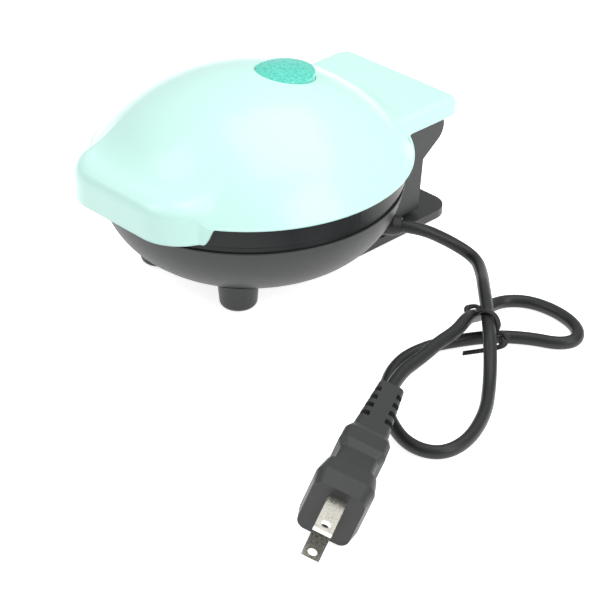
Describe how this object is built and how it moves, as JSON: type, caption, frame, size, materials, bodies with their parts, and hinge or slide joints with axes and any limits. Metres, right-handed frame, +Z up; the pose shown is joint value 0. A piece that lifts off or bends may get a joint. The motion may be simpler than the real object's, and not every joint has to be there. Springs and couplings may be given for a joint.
{
  "type": "mini waffle maker",
  "caption": "Small round waffle maker with a domed lid hinged at the rear, a dark bowl base on feet, an indicator lens and a mains cord with a plug.",
  "frame": {"origin": "bottom centre of the appliance's box, measured without the cord, on the table", "axes": "+Z up, -Y towards the front handle, +X to the appliance's own left as seen from behind; the hinge is at +Y and runs along X"},
  "size_m": [0.2303, 0.211, 0.0806],
  "materials": {
    "lid_plastic": "smooth satin gloss",
    "base_plastic": "fine matte",
    "trim_plastic": "satin",
    "plate_coating": "dark non-stick coating on cast aluminium",
    "steel": "plain",
    "element_sheath": "heat-tinted",
    "reflector_sheet": "bright sheet",
    "lens_plastic": "clear tinted, dimpled inside",
    "holder_plastic": "plain",
    "lamp_glass": "clear",
    "wire_sleeve": "woven heat-proof sleeve",
    "pad_rubber": "matte",
    "cord_rubber": "satin",
    "plug_rubber": "moulded, satin",
    "blade_metal": "plated",
    "tie_plastic": "satin"
  },
  "bodies": {
    "base": {"base_shell": "base_plastic", "lower_plate": "plate_coating", "lower_heating_element": "element_sheath", "lower_element_clamp": "steel", "lower_reflector": "reflector_sheet", "lower_trim_ring": "trim_plastic", "lower_plate_screws": "steel", "lower_ring_screws": "steel", "thermostat": "steel", "thermostat_bracket": "steel", "rear_column": "base_plastic", "hinge_pin": "steel", "rear_stand": "base_plastic", "front_foot_left": "base_plastic", "front_foot_right": "base_plastic", "stand_screws": "steel", "foot_pads": "pad_rubber", "cord_gland": "cord_rubber", "base_wiring": "cord_rubber", "power_cord": "cord_rubber", "plug_body": "plug_rubber", "plug_blades": "blade_metal", "cord_tie": "tie_plastic"},
    "lid": {"lid_cover": "lid_plastic", "upper_plate": "plate_coating", "upper_heating_element": "element_sheath", "upper_element_clamp": "steel", "upper_reflector": "reflector_sheet", "upper_trim_ring": "trim_plastic", "upper_plate_screws": "steel", "upper_ring_screws": "steel", "indicator_lens": "lens_plastic", "lamp_holder": "holder_plastic", "indicator_lamp": "lamp_glass", "lamp_leads": "wire_sleeve", "thermal_cutout": "steel", "cutout_bracket": "steel", "lid_hinge_bracket": "steel", "hinge_bracket_screws": "steel"}
  },
  "joints": [
    {"name": "lid_hinge", "type": "hinge", "parent": "base", "child": "lid", "pos_m": [0, 0.06625, 0.0405], "axis": [-1, 0, 0], "range_deg": [0, 100]}
  ]
}
